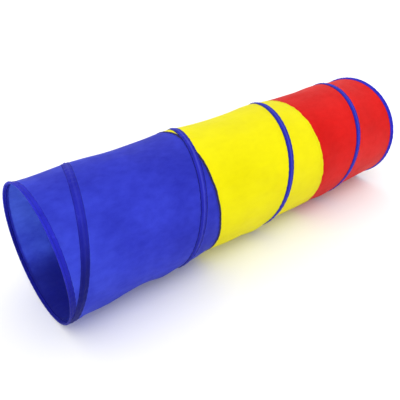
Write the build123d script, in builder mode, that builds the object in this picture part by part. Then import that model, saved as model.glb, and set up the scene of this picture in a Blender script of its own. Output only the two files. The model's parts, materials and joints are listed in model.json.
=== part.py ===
"""Pop-up agility tunnel: three cloth sections on a spiral spring wire, with a wire ring at each end.

Millimetres and degrees. The tunnel's axis runs along X, its mouth at -X, its floor at z = 0.
Angles round the tunnel start at the floor and turn through -Y to the top.
"""

import os
from math import cos, degrees, radians, sin

from build123d import *

os.makedirs("parts", exist_ok=True)

# Whole tunnel
tunnel_length = 1640.0
blue_length = 567.0
yellow_length = 555.0
cloth_outer_radius = 235.0
cloth_thickness = 1.0
sewing_clearance = 0.3  # between cloth layers that are sewn together

# Bindings round the two end rings
binding_outer_leg = 20.0
binding_inner_leg = 12.0
binding_nose = 8.0
binding_flat_depth = 1.5  # how much of the binding is pressed flat on the floor
binding_inner_thickness = 1.5
binding_corner = 2.5

# End ring wires and the sleeves crimped over their joints
ring_wire_radius = 1.25
ring_joint_gap = 0.4
ring_joint_angle = 205.0
ring_ferrule_wall = 0.85
ring_ferrule_clearance = 0.3  # between the ferrule and the binding's channel
ring_ferrule_length = 30.0

# Spiral wire, its end caps and the tape casing sewn over it
spiral_pitch = 430.0
spiral_mouth_angle = 49.0  # where the spiral's line would cross the plane of the mouth
spiral_wire_radius = 1.1
spiral_wire_flats = 10  # a wire this long stays light to mesh with flats in place of a round
cap_wall = 0.3
cap_clearance = 0.15
cap_length = 14.0
cap_floor = 1.5
cap_recess = 3.0  # from the end of the casing to the cap
casing_width = 28.0
casing_edge_thickness = 1.0
casing_channel_clearance = 0.3  # between the cap and the corners of the channel
casing_channel_wall = 0.5  # under the channel, and over it at the crown
casing_channel_sides = 8
casing_end_clearance = 0.5

# Inside seam tapes
seam_tape_width = 12.0
seam_tape_thickness = 0.8
lap_seam_angle = 25.0
lap_seam_clearance = 1.0
panel_gap = 0.6  # between the cut edges of neighbouring sections

# Levels that follow from the sizes above
cloth_inner_radius = cloth_outer_radius - cloth_thickness
ring_ferrule_radius = ring_wire_radius + ring_ferrule_wall
ring_channel_radius = ring_ferrule_radius + ring_ferrule_clearance
cap_bore_radius = spiral_wire_radius + cap_clearance
cap_radius = cap_bore_radius + cap_wall
casing_channel_radius = cap_radius + casing_channel_clearance
casing_crown_height = 2 * (casing_channel_wall + casing_channel_radius)
mouth = -tunnel_length / 2
blue_yellow_station = mouth + blue_length
yellow_red_station = blue_yellow_station + yellow_length
casing_inner_radius = cloth_outer_radius + sewing_clearance
axis_height = casing_inner_radius + casing_crown_height  # the crown touches the floor under the tunnel
outer_leg_radius = cloth_outer_radius + sewing_clearance
inner_leg_radius = cloth_inner_radius - sewing_clearance
binding_outer_radius = axis_height + binding_flat_depth
binding_inner_radius = inner_leg_radius - binding_inner_thickness
ring_radius = (binding_outer_radius + binding_inner_radius) / 2
ring_station = mouth + binding_nose / 2
spiral_radius = casing_inner_radius + casing_channel_wall + casing_channel_radius
casing_start = mouth + binding_outer_leg + casing_end_clearance + casing_width / 2
seam_tape_radius = cloth_inner_radius - sewing_clearance
tunnel_axis = Axis((0, 0, axis_height), (1, 0, 0))


def spoke(angle):
    """The direction from the tunnel's axis towards an angle round it."""
    return Vector(0, -sin(radians(angle)), -cos(radians(angle)))


def cross_section(station):
    """The plane across the tunnel at a station, centred on its axis."""
    return Plane(origin=(station, 0, axis_height), x_dir=(0, 1, 0), z_dir=(1, 0, 0))


def lengthwise_section(angle):
    """The plane through the axis at an angle: x along the tunnel, y out from the axis."""
    along = Vector(1, 0, 0)
    return Plane(origin=(0, 0, axis_height), x_dir=along, z_dir=along.cross(spoke(angle)))


def spiral_path(start, end):
    """The spiral wire's centre line between two stations."""
    turned = 360 * (start - mouth) / spiral_pitch
    across = Plane(origin=(start, 0, axis_height), x_dir=spoke(spiral_mouth_angle + turned), z_dir=(1, 0, 0))
    return across * Helix(spiral_pitch, end - start, spiral_radius, lefthand=True)


def spiral_section(path):
    """The plane across the spiral wire at the start of a path: x out from the axis, y across the tape."""
    outward = path @ 0 - Vector((path @ 0).X, 0, axis_height)
    return Plane(origin=path @ 0, x_dir=outward, z_dir=path % 0)


def arc_angle(length, radius):
    """The angle that a length along a circle takes up."""
    return degrees(length / radius)


def save(piece, name):
    """Label a finished piece and write it as its own STEP file."""
    piece.part.label = name
    export_step(piece.part, f"parts/{name}.step")


# Front binding: a U of tape round the mouth, thick on the outside, with a channel for the ring wire,
# pressed flat where it stands on the floor
with BuildPart() as front_binding:
    with BuildSketch(lengthwise_section(90)):
        with BuildLine():
            Polyline(
                (mouth, binding_inner_radius),
                (mouth + binding_inner_leg, binding_inner_radius),
                (mouth + binding_inner_leg, inner_leg_radius),
                (mouth + binding_nose, inner_leg_radius),
                (mouth + binding_nose, outer_leg_radius),
                (mouth + binding_outer_leg, outer_leg_radius),
                (mouth + binding_outer_leg, binding_outer_radius),
                (mouth, binding_outer_radius),
                close=True,
            )
        profile = make_face()
        fillet(profile.vertices().group_by(Axis.X)[0], binding_corner)
        with Locations((ring_station, ring_radius)):
            Circle(ring_channel_radius, mode=Mode.SUBTRACT)
    revolve(axis=tunnel_axis)
    split(bisect_by=Plane.XY, keep=Keep.TOP)
save(front_binding, "front_binding")

with BuildPart() as rear_binding:
    mirror(front_binding.part, about=Plane.YZ)
save(rear_binding, "rear_binding")

# Front ring wire: one turn of spring wire whose ends nearly meet
joint_angle = arc_angle(ring_joint_gap, ring_radius)
with BuildPart() as front_ring_wire:
    with BuildSketch(lengthwise_section(ring_joint_angle - joint_angle / 2)):
        with Locations((ring_station, ring_radius)):
            Circle(ring_wire_radius)
    revolve(axis=tunnel_axis, revolution_arc=360 - joint_angle)
save(front_ring_wire, "front_ring_wire")

with BuildPart() as rear_ring_wire:
    mirror(front_ring_wire.part, about=Plane.YZ)
save(rear_ring_wire, "rear_ring_wire")

# Front ring ferrule: the sleeve crimped over the ring wire's joint
ferrule_angle = arc_angle(ring_ferrule_length, ring_radius)
with BuildPart() as front_ring_ferrule:
    with BuildSketch(lengthwise_section(ring_joint_angle + ferrule_angle / 2)):
        with Locations((ring_station, ring_radius)):
            Circle(ring_ferrule_radius)
            Circle(ring_wire_radius, mode=Mode.SUBTRACT)
    revolve(axis=tunnel_axis, revolution_arc=ferrule_angle)
save(front_ring_ferrule, "front_ring_ferrule")

with BuildPart() as rear_ring_ferrule:
    mirror(front_ring_ferrule.part, about=Plane.YZ)
save(rear_ring_ferrule, "rear_ring_ferrule")

# Cloth sections, each a tube, with its lengthwise seam tape inside it
sections = {
    "blue": (mouth + binding_nose, blue_yellow_station),
    "yellow": (blue_yellow_station, yellow_red_station),
    "red": (yellow_red_station, -mouth - binding_nose),
}
lap_margin = max(seam_tape_width / 2, binding_inner_leg - binding_nose) + lap_seam_clearance
lap_angle = arc_angle(seam_tape_width, seam_tape_radius)
for colour, (start, end) in sections.items():
    with BuildPart() as panel:
        with BuildSketch(cross_section(start + panel_gap / 2)):
            Circle(cloth_outer_radius)
            Circle(cloth_inner_radius, mode=Mode.SUBTRACT)
        extrude(amount=end - start - panel_gap)
    save(panel, f"{colour}_panel")

    with BuildPart() as lap_seam:
        with BuildSketch(lengthwise_section(lap_seam_angle + lap_angle / 2)):
            with Locations(((start + end) / 2, seam_tape_radius - seam_tape_thickness / 2)):
                Rectangle(end - start - 2 * lap_margin, seam_tape_thickness)
        revolve(axis=tunnel_axis, revolution_arc=lap_angle)
    save(lap_seam, f"{colour}_lap_seam")

# Seam tapes round the tunnel, inside the joints between the sections
for name, station in (("blue_yellow_seam", blue_yellow_station), ("yellow_red_seam", yellow_red_station)):
    with BuildPart() as seam_tape:
        with BuildSketch(cross_section(station - seam_tape_width / 2)):
            Circle(seam_tape_radius)
            Circle(seam_tape_radius - seam_tape_thickness, mode=Mode.SUBTRACT)
        extrude(amount=seam_tape_width)
    save(seam_tape, name)

# Spiral casing: a crowned tape sewn over the spiral wire, with a channel for the wire and its caps
tape_path = spiral_path(casing_start, -casing_start)
tape_base = casing_inner_radius - spiral_radius
tape_edge = tape_base + casing_edge_thickness
tape_crown = tape_base + casing_crown_height
with BuildPart() as spiral_casing:
    with BuildSketch(spiral_section(tape_path)):
        with BuildLine():
            Polyline(
                (tape_edge, -casing_width / 2),
                (tape_base, -casing_width / 2),
                (tape_base, casing_width / 2),
                (tape_edge, casing_width / 2),
            )
            ThreePointArc((tape_edge, casing_width / 2), (tape_crown, 0), (tape_edge, -casing_width / 2))
        make_face()
        RegularPolygon(casing_channel_radius, casing_channel_sides, mode=Mode.SUBTRACT)
    sweep(path=tape_path, is_frenet=True)
save(spiral_casing, "spiral_casing")

# Spiral wire: the spring that holds the tunnel open
advance = (tape_path % 0).X  # along the tunnel for each millimetre of wire
cap_start = casing_start + cap_recess
wire_start = cap_start + cap_floor * advance
wire_path = spiral_path(wire_start, -wire_start)
with BuildPart() as spiral_wire:
    with BuildSketch(spiral_section(wire_path)):
        RegularPolygon(spiral_wire_radius, spiral_wire_flats)
    sweep(path=wire_path, is_frenet=True)
save(spiral_wire, "spiral_wire")

# Spiral caps: closed sleeves over the wire's two ends
sleeve_run = cap_length * advance
caps = {
    "spiral_front_cap": (cap_start, cap_start + sleeve_run, wire_start, cap_start + sleeve_run),
    "spiral_rear_cap": (-cap_start - sleeve_run, -cap_start, -cap_start - sleeve_run, -wire_start),
}
for name, (start, end, bore_start, bore_end) in caps.items():
    sleeve_path = spiral_path(start, end)
    bore_path = spiral_path(bore_start, bore_end)
    with BuildPart() as cap:
        with BuildSketch(spiral_section(sleeve_path)) as sleeve_section:
            Circle(cap_radius)
        sweep(sections=sleeve_section.sketch, path=sleeve_path, is_frenet=True)
        with BuildSketch(spiral_section(bore_path)) as bore_section:
            Circle(cap_bore_radius)
        sweep(sections=bore_section.sketch, path=bore_path, is_frenet=True, mode=Mode.SUBTRACT)
    save(cap, name)
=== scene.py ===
"""Pop-up agility tunnel: cloth, tape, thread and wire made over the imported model.

Metres throughout, in the model's own frame: the tunnel's axis runs along X, its blue mouth at -X and
its floor at z = 0. Angles round the tunnel are in degrees, start at the floor and turn through -Y to
the top.
"""

import json
import logging
import math
from dataclasses import dataclass
from enum import Enum
from typing import Sequence

import bmesh
import bpy
import numpy as np
from mathutils import Matrix, Vector


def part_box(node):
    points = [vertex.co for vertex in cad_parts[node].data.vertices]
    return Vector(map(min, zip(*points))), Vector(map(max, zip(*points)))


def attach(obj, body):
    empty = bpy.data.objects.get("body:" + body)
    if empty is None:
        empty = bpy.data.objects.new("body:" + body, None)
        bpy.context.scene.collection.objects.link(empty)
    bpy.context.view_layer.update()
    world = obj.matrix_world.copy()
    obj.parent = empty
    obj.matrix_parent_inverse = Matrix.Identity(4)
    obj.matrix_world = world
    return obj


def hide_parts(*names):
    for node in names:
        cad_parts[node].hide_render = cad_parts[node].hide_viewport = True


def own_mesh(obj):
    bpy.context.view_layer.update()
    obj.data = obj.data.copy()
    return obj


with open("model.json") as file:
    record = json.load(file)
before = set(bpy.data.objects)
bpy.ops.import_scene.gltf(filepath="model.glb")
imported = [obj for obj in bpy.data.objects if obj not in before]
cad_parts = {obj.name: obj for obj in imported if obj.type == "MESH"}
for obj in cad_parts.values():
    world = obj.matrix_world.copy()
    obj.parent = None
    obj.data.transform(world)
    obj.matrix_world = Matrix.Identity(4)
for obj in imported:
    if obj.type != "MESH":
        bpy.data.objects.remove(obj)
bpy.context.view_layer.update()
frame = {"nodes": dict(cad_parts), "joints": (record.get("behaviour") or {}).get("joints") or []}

log = logging.getLogger("agility_tunnel")
Colour = tuple[float, float, float]
Points = np.ndarray
Piece = bpy.types.Object
Material = bpy.types.Material
Socket = bpy.types.NodeSocket
ROUND = 448  # points round the tunnel
MOST_TURNS = 5  # turns of the wire that are tabled, more than the tunnel has
WIRE_SAMPLES = 8000  # points in that table
THREAD_SCALE = 2 * math.pi / 20 * 3.18  # scale of the weave's bands for a thread one metre wide
# Least heights over the floor of the layers that lie pressed on it, from the inside of the tunnel out
INSIDE_FLOOR = 0.0030
CLOTH_FLOOR = 0.0012
HEM_FLOOR = 0.0006
OUTSIDE_FLOOR = 0.0003
SKIN = 0.0001  # gap under a layer that lies on another
STITCH_SPACING = 0.0046  # from stitch to stitch
STITCH_LENGTH = 0.0036
STITCH_THREAD = 0.0008  # thickness of the thread
SPECULAR = 0.22  # how strongly cloth and tape mirror light
TAPE_GLOSS = (0.22, 0.28, 1.0, 1.0)


class Body(Enum):
    """The rigid bodies that the pieces ride on."""

    FRONT = "front_end"
    YELLOW = "yellow_section"
    RED = "red_section"
    REAR = "rear_end"


# ---------------------------------------------------------------- form of the tunnel


@dataclass(frozen=True)
class Waves:
    """A fixed sum of waves over the tube, which closes on itself round the tunnel."""

    seed: int  # seed of the random choice of waves
    fewest: int  # fewest waves in one turn round the tunnel
    most: int  # most waves in one turn round the tunnel
    shortest: float  # shortest wavelength along the tunnel
    longest: float  # longest wavelength along the tunnel
    count: int = 10  # how many waves are added up

    def at(self, x: Points, angle: Points) -> Points:
        """Height of the waves.

        Args:
            x: Stations along the tunnel.
            angle: Angles round it.

        Returns:
            Heights, mostly between -1 and 1.
        """
        rng = np.random.default_rng(self.seed)
        around = rng.integers(self.fewest, self.most + 1, self.count)
        along = 2 * np.pi / rng.uniform(self.shortest, self.longest, self.count)
        along *= rng.choice((-1, 1), self.count)
        phase = rng.uniform(0, 2 * np.pi, self.count)
        turned = np.radians(angle)
        total = sum(np.cos(m * turned + k * x + p) for m, k, p in zip(around, along, phase))
        return total / math.sqrt(self.count)


@dataclass(frozen=True)
class Pocket:
    """A place where slack cloth hangs out or is drawn in."""

    x: float  # station of its middle
    angle: float  # angle of its middle
    along: float  # half length along the tunnel
    around: float  # half width round the tunnel, in degrees
    depth: float  # how far it stands out; negative is drawn in

    def at(self, x: Points, angle: Points) -> Points:
        """Height of the pocket over each point."""
        apart = (angle - self.angle + 180) % 360 - 180
        return self.depth * np.exp(-(((x - self.x) / self.along) ** 2) - (apart / self.around) ** 2)


@dataclass(frozen=True)
class TunnelForm:
    """Where the outside of the cloth lies, between the end rings and the turns of the wire."""

    mouth: float  # station of the blue end
    rear: float  # station of the red end
    axis_height: float  # height of the axis over the floor
    cloth_radius: float  # radius of the cloth at the end rings
    blue_yellow: float  # station of the blue and yellow seam
    yellow_red: float  # station of the yellow and red seam
    pitch: float = 0.430  # advance of the wire for each turn
    mouth_angle: float = 49.0  # angle where the wire's line would cross the plane of the mouth
    slip: float = 0.034  # how far each turn is pushed along towards the red end where it stands on the floor
    slip_angle: float = 15.0  # angle where it is pushed farthest
    slip_reach: float = 44.0  # how far round the tunnel that reaches
    wire_rise: float = 0.0065  # how far the wire holds the cloth out beyond the end rings
    front_run: float = 0.34  # distance from the mouth over which the wire's turns widen
    rear_run: float = 0.26  # distance from the red end over which they widen
    stand: float = 0.0040  # how much higher the axis is where the tunnel stands on the wire's turns
    ring_depth: float = 0.004  # distance from each end of the tunnel to its ring wire
    waist: float = 0.0048  # how far taut cloth pulls in halfway along a full pitch
    sag: float = 0.0035  # how far cloth hangs under its weight halfway along a full pitch
    sag_top: float = -0.15  # share of that sag at the top, where it is a slight lift
    tape_half: float = 0.0135  # half width of the stretch that the spiral tape keeps smooth
    billow_height: float = 0.0018  # height of the broad unevenness between the turns
    fold_height: float = 0.0003  # height of the fine lengthwise folds
    fold_least: float = 0.25  # share of those folds that is left beside the wire
    tape_gather: float = 0.00035  # height of the puckers beside the tape
    tape_gather_reach: float = 0.016  # how far from the tape they fade
    seam_gather: float = 0.0004  # height of the puckers beside a seam
    seam_gather_reach: float = 0.022  # how far from the seam they fade
    seam_waist: float = 0.0012  # how far a seam draws the cloth in
    seam_waist_reach: float = 0.014  # how far along the tunnel that reaches
    billow: Waves = Waves(3, 1, 6, 0.18, 0.5)  # waves of the unevenness
    folds: Waves = Waves(5, 12, 34, 0.25, 0.9, 12)  # waves of the folds
    puckers: Waves = Waves(8, 46, 84, 0.05, 0.3, 14)  # waves of the puckers
    pockets: tuple[Pocket, ...] = ()  # places where the cloth is slack or drawn in

    def wire_ramp(self, x: Points) -> Points:
        """Share of the wire's full rise at each station of the wire."""
        share = np.clip(np.minimum((x - self.mouth) / self.front_run, (self.rear - x) / self.rear_run), 0, 1)
        return share * share * (3 - 2 * share)

    def slipped(self, angle: Points) -> Points:
        """How far the wire is pushed along at each angle."""
        apart = (np.asarray(angle, float) - self.slip_angle + 180) % 360 - 180
        return self.slip * np.exp(-((apart / self.slip_reach) ** 2))

    def supports(self, x: Points, angle: Points) -> tuple[Points, Points]:
        """Stations of the wire or ring before and after each point.

        Args:
            x: Stations along the tunnel.
            angle: Angles round it.

        Returns:
            The station before and the station after each point.
        """
        phase = (angle - self.mouth_angle) / 360
        slipped = self.slipped(angle)
        turn = np.floor((x - slipped - self.mouth) / self.pitch - phase)
        before = self.mouth + self.pitch * (turn + phase) + slipped
        after = before + self.pitch
        first, last = self.mouth + self.ring_depth, self.rear - self.ring_depth
        return np.clip(before, first, last), np.clip(after, first, last)

    def radius(self, x: Points, angle: Points) -> Points:
        """Radius of the outside of the cloth.

        Args:
            x: Stations along the tunnel.
            angle: Angles round it.

        Returns:
            Radii, before the floor presses on the cloth.
        """
        before, after = self.supports(x, angle)
        span = np.maximum(after - before, 1e-6)
        share = np.clip((x - before) / span, 0, 1)
        arch, slack = 4 * share * (1 - share), span / self.pitch
        held = self.wire_rise * ((1 - share) * self.wire_ramp(before) + share * self.wire_ramp(after))
        radius = self.cloth_radius + held - self.waist * slack**1.5 * arch
        radius = radius + self.sag * slack * arch * np.clip(np.cos(np.radians(angle)), self.sag_top, 1)
        radius = radius + self.billow_height * slack * arch * self.billow.at(x, angle)
        radius = radius + self.fold_height * (self.fold_least + slack * arch) * self.folds.at(x, angle)
        edge = np.maximum(np.minimum(x - before, after - x) - self.tape_half, 0)
        gather = self.tape_gather * np.exp(-edge / self.tape_gather_reach)
        for seam in (self.blue_yellow, self.yellow_red):
            gather = gather + self.seam_gather * np.exp(-np.abs(x - seam) / self.seam_gather_reach)
            radius = radius - self.seam_waist * np.exp(-(((x - seam) / self.seam_waist_reach) ** 2))
        radius = radius + gather * self.puckers.at(x, angle)
        return radius + sum(pocket.at(x, angle) for pocket in self.pockets)

    def place(self, x: Points, angle: Points, lift: Points | float = 0.0, floor: float = 0.0) -> Points:
        """Points on or near the cloth.

        Args:
            x: Stations along the tunnel.
            angle: Angles round it.
            lift: Distance out from the cloth's outside.
            floor: Least height over the floor, for the layers that lie pressed on it.

        Returns:
            Points, with a last axis of three.
        """
        x, angle, lift = np.broadcast_arrays(np.asarray(x, float), np.asarray(angle, float), lift)
        reach = self.radius(x, angle) + lift
        turned = np.radians(angle)
        y, z = -reach * np.sin(turned), self.axis_height + self.hoist(x) - reach * np.cos(turned)
        return np.stack([x, y, np.maximum(z, floor)], -1)

    def hoist(self, x: Points) -> Points:
        """How much higher the tunnel's axis is where the wire's turns stand on the floor."""
        return self.stand * self.wire_ramp(x)

    def wire_station(self, turned: Points) -> Points:
        """Station of the wire after it has turned to each angle, counted on through its turns."""
        return self.mouth + self.pitch * (turned - self.mouth_angle) / 360 + self.slipped(turned)

    def wire_angle(self, x: Points) -> Points:
        """Angle that the wire has turned to at each station."""
        turned = np.linspace(self.mouth_angle - 180, self.mouth_angle + 360 * MOST_TURNS, WIRE_SAMPLES)
        return np.interp(x, self.wire_station(turned), turned)

    def beside_wire(self, turned: Points, across: Points) -> tuple[Points, Points]:
        """Stations and angles beside the wire, square to it over the cloth.

        Args:
            turned: Angles that the wire has turned to.
            across: Distances to the side, towards the red end.

        Returns:
            Stations and angles.
        """
        reach = self.cloth_radius + self.wire_rise
        rise = (self.wire_station(turned + 0.5) - self.wire_station(turned - 0.5)) / math.radians(1)
        whole = np.hypot(reach, rise)
        station = self.wire_station(turned) + across * reach / whole
        return station, turned - np.degrees(across * rise / whole / reach)


def middle(node: str, axis: int) -> float:
    """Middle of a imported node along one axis."""
    low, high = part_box(node)
    return (low[axis] + high[axis]) / 2


def packed_form() -> TunnelForm:
    """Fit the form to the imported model.

    Returns:
        The form.
    """
    mouth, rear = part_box("front_binding")[0][0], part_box("rear_binding")[1][0]
    low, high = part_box("yellow_panel")
    return TunnelForm(
        mouth=mouth,
        rear=rear,
        axis_height=(low[2] + high[2]) / 2,
        cloth_radius=(high[2] - low[2]) / 2,
        blue_yellow=middle("blue_yellow_seam", 0),
        yellow_red=middle("yellow_red_seam", 0),
        pockets=(
            # Low on the near side, from the mouth to the red end
            Pocket(mouth + 0.035, 44, 0.022, 16, 0.005),
            Pocket(mouth + 0.14, 42, 0.075, 20, 0.007),
            Pocket(mouth + 0.36, 40, 0.045, 18, 0.007),
            Pocket(mouth + 0.56, 42, 0.045, 16, -0.005),
            Pocket(mouth + 0.81, 40, 0.045, 18, 0.009),
            Pocket(mouth + 1.24, 40, 0.055, 18, 0.008),
            # Beyond the top
            Pocket(mouth + 0.57, 206, 0.05, 22, 0.003),
            Pocket(mouth + 1.00, 208, 0.06, 22, 0.004),
            Pocket(mouth + 1.42, 208, 0.06, 22, 0.003),
        ),
    )


# ---------------------------------------------------------------- mesh building


def linked(name: str, data: bpy.types.ID) -> Piece:
    """Make an object and link it to the scene.

    Args:
        name: Name of the object.
        data: Its mesh, light or camera.

    Returns:
        The object.
    """
    thing = bpy.data.objects.new(name, data)
    bpy.context.scene.collection.objects.link(thing)
    return thing


def mesh_object(name: str, points: Points, faces: Sequence[Sequence[int]]) -> Piece:
    """Make an object of points and faces and link it to the scene.

    Args:
        name: Name of the object.
        points: Its points.
        faces: Point indices of each face.

    Returns:
        The object.
    """
    mesh = bpy.data.meshes.new(name)
    mesh.from_pydata(points.reshape(-1, 3).tolist(), [], [list(map(int, face)) for face in faces])
    mesh.update()
    return linked(name, mesh)


def grid_faces(rows: int, columns: int, rows_close: bool, columns_close: bool) -> Points:
    """Quads between the rows and columns of a grid of points.

    Args:
        rows: Number of rows.
        columns: Number of columns.
        rows_close: True if the last row joins the first.
        columns_close: True if the last column joins the first.

    Returns:
        Four point indices for each quad.
    """
    row = np.arange(rows if rows_close else rows - 1)
    column = np.arange(columns if columns_close else columns - 1)
    i, j = np.meshgrid(row, column, indexing="ij")
    below, right = (i + 1) % rows, (j + 1) % columns
    corners = (i * columns + j, i * columns + right, below * columns + right, below * columns + j)
    return np.stack([corner.ravel() for corner in corners], -1)


def write_uv(piece: Piece, u: Points, v: Points, lap: float) -> None:
    """Write a UV map in metres, with the seam of a closed direction carried on past its end.

    Args:
        piece: The piece.
        u: First coordinate of each point.
        v: Second coordinate of each point.
        lap: Length of the closed direction of u, or 0 where it doesn't close.
    """
    mesh = piece.data
    corner = np.empty(len(mesh.loops), np.int32)
    mesh.loops.foreach_get("vertex_index", corner)
    u_corner, v_corner = u.ravel()[corner].astype(float), v.ravel()[corner].astype(float)
    if lap:
        start = np.empty(len(mesh.polygons), np.int32)
        total = np.empty(len(mesh.polygons), np.int32)
        mesh.polygons.foreach_get("loop_start", start)
        mesh.polygons.foreach_get("loop_total", total)
        most = np.repeat(np.maximum.reduceat(u_corner, start), total)
        u_corner = np.where(most - u_corner > lap / 2, u_corner + lap, u_corner)
    layer = mesh.uv_layers.new(name="weave")
    layer.data.foreach_set("uv", np.stack([u_corner, v_corner], -1).ravel().astype(np.float32))


def face_outwards(piece: Piece) -> None:
    """Turn the faces of a closed piece outwards and shade it smooth.

    Args:
        piece: The piece.
    """
    work = bmesh.new()
    work.from_mesh(piece.data)
    bmesh.ops.recalc_face_normals(work, faces=work.faces)
    work.to_mesh(piece.data)
    work.free()
    smooth(piece)


def smooth(piece: Piece) -> None:
    """Shade a piece smooth."""
    piece.data.polygons.foreach_set("use_smooth", [True] * len(piece.data.polygons))
    piece.data.update()


def tube_sheet(name: str, points: Points, form: TunnelForm, thickness: float) -> Piece:
    """A sheet closed round the tunnel, with its thickness inwards.

    Args:
        name: Name of the piece.
        points: Grid of points, rows along the tunnel and columns round it.
        form: The tunnel's form.
        thickness: Thickness of the cloth.

    Returns:
        The piece, with a live Solidify modifier.
    """
    rows, columns = points.shape[:2]
    faces = grid_faces(rows, columns, False, True)
    piece = mesh_object(name, points, faces[:, ::-1])
    lap = 2 * np.pi * form.cloth_radius
    around = np.broadcast_to(np.arange(columns) * lap / columns, (rows, columns))
    write_uv(piece, around, points[..., 0], lap)
    smooth(piece)
    wall = piece.modifiers.new("thickness", "SOLIDIFY")
    wall.thickness, wall.offset, wall.use_even_offset = thickness, -1, False
    return piece


def swept(name: str, sections: Points, closed: bool, widths: Points, run: Points) -> Piece:
    """A solid swept through closed sections, with ends where it doesn't close on itself.

    Args:
        name: Name of the piece.
        sections: Points by section and then round each section.
        closed: True if the last section joins the first.
        widths: First UV coordinate, for each point of a section.
        run: Second UV coordinate, for each section.

    Returns:
        The piece.
    """
    count, round_it = sections.shape[:2]
    faces = [tuple(face) for face in grid_faces(count, round_it, closed, True)]
    if not closed:
        last = (count - 1) * round_it
        faces += [tuple(range(round_it)), tuple(range(last + round_it - 1, last - 1, -1))]
    piece = mesh_object(name, sections, faces)
    u = np.broadcast_to(np.asarray(widths)[None, :], (count, round_it))
    v = np.broadcast_to(np.asarray(run)[:, None], (count, round_it))
    write_uv(piece, v, u, float(run[-1] + run[1] - 2 * run[0]) if closed else 0.0)
    face_outwards(piece)
    return piece


def as_mesh(piece: Piece) -> Piece:
    """Turn a piece's evaluated shape into its plain mesh and remove its modifiers.

    Args:
        piece: The piece.

    Returns:
        The same piece.
    """
    graph = bpy.context.evaluated_depsgraph_get()
    graph.update()
    shaped = piece.evaluated_get(graph)
    mesh = bpy.data.meshes.new_from_object(shaped, preserve_all_data_layers=True, depsgraph=graph)
    piece.modifiers.clear()
    piece.data = mesh
    mesh.name = piece.name
    return piece


# ---------------------------------------------------------------- finishes


class NodeBench:
    """Short calls for building a shader or geometry node tree."""

    def __init__(self, tree: bpy.types.NodeTree) -> None:
        """Start on a tree.

        Args:
            tree: The tree to build in.
        """
        self.tree = tree

    def add(self, kind: str, settings: dict | None = None, **inputs: object) -> bpy.types.Node:
        """Add a node, set its properties, and set or link its inputs.

        Args:
            kind: Node type.
            settings: Properties of the node.
            inputs: Values or output sockets by input name, with _ for a space.

        Returns:
            The node.
        """
        node = self.tree.nodes.new(kind)
        for name, value in (settings or {}).items():
            setattr(node, name, value)
        for name, value in inputs.items():
            self.feed(node, name.replace("_", " "), value)
        return node

    def feed(self, node: bpy.types.Node, name: str | int, value: object) -> None:
        """Set or link one input.

        Args:
            node: The node.
            name: The input's name or index.
            value: A value, or an output socket to link.
        """
        socket = node.inputs[name]
        if isinstance(value, Socket):
            self.tree.links.new(value, socket)
        else:
            socket.default_value = value

    def maths(self, operation: str, *values: object) -> Socket:
        """Add a Math node.

        Args:
            operation: What the node does.
            values: One to three values or sockets.

        Returns:
            The node's result.
        """
        node = self.add("ShaderNodeMath", {"operation": operation})
        for index, value in enumerate(values):
            self.feed(node, index, value)
        return node.outputs[0]

    def noise(self, place: Socket, scale: float, detail: float, roughness: float = 0.5) -> Socket:
        """A cloudy value from 0 to 1."""
        inputs = {"Vector": place, "Scale": scale, "Detail": detail, "Roughness": roughness}
        return self.add("ShaderNodeTexNoise", **inputs).outputs[0]

    def bands(self, place: Socket, side: str, scale: float, distortion: float, **more: float) -> Socket:
        """Draw even bands across one side of a UV map.

        Args:
            place: UV coordinates.
            side: X or Y.
            scale: Scale of the bands.
            distortion: How uneven they are.
            more: More inputs of the node.

        Returns:
            A value from 0 to 1.
        """
        settings = {"wave_type": "BANDS", "bands_direction": side, "wave_profile": "SIN"}
        inputs = dict(Vector=place, Scale=scale, Distortion=distortion, **more)
        return self.add("ShaderNodeTexWave", settings, **inputs).outputs[1]

    def surface(self, colour: object, rough: object, bump: object, **more: object) -> Socket:
        """A Principled surface, with more of its inputs by name, with _ for a space."""
        inputs = dict(Base_Color=colour, Roughness=rough, Normal=bump, **more)
        return self.add("ShaderNodeBsdfPrincipled", **inputs).outputs[0]

    def times(self, first: object, second: object) -> Socket:
        """The product of two values or sockets."""
        return self.maths("MULTIPLY", first, second)

    def plus(self, first: object, second: object) -> Socket:
        """The sum of two values or sockets."""
        return self.maths("ADD", first, second)

    def mixed(self, share: object, first: object, second: object) -> Socket:
        """Mix two colours.

        Args:
            share: Share of the second colour, from 0 to 1.
            first: First colour.
            second: Second colour.

        Returns:
            The mixed colour.
        """
        node = self.add("ShaderNodeMix", {"data_type": "RGBA"})
        for index, value in ((0, share), (6, first), (7, second)):  # its two colours are inputs 6 and 7
            self.feed(node, index, value)
        return node.outputs[2]

    def ranged(self, value: object, low: float, high: float, to_low: float, to_high: float) -> Socket:
        """Carry a value from one range to another, smoothly.

        Args:
            value: The value.
            low: Start of its range.
            high: End of its range.
            to_low: Start of the new range.
            to_high: End of the new range.

        Returns:
            The value in the new range.
        """
        node = self.add("ShaderNodeMapRange", {"interpolation_type": "SMOOTHSTEP"})
        for index, part in enumerate((value, low, high, to_low, to_high)):
            self.feed(node, index, part)
        return node.outputs[0]


def new_finish(name: str) -> tuple[Material, NodeBench]:
    """Start an empty material.

    Args:
        name: Name of the material.

    Returns:
        The material and the bench of its node tree.
    """
    material = bpy.data.materials.new(name)
    material.use_nodes = True
    material.node_tree.nodes.clear()
    return material, NodeBench(material.node_tree)


def opaque(colour: Colour, shade: float = 1.0) -> tuple[float, float, float, float]:
    """A colour with its alpha, made darker or lighter by shade."""
    return (*(min(part * shade, 1.0) for part in colour), 1.0)


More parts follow.
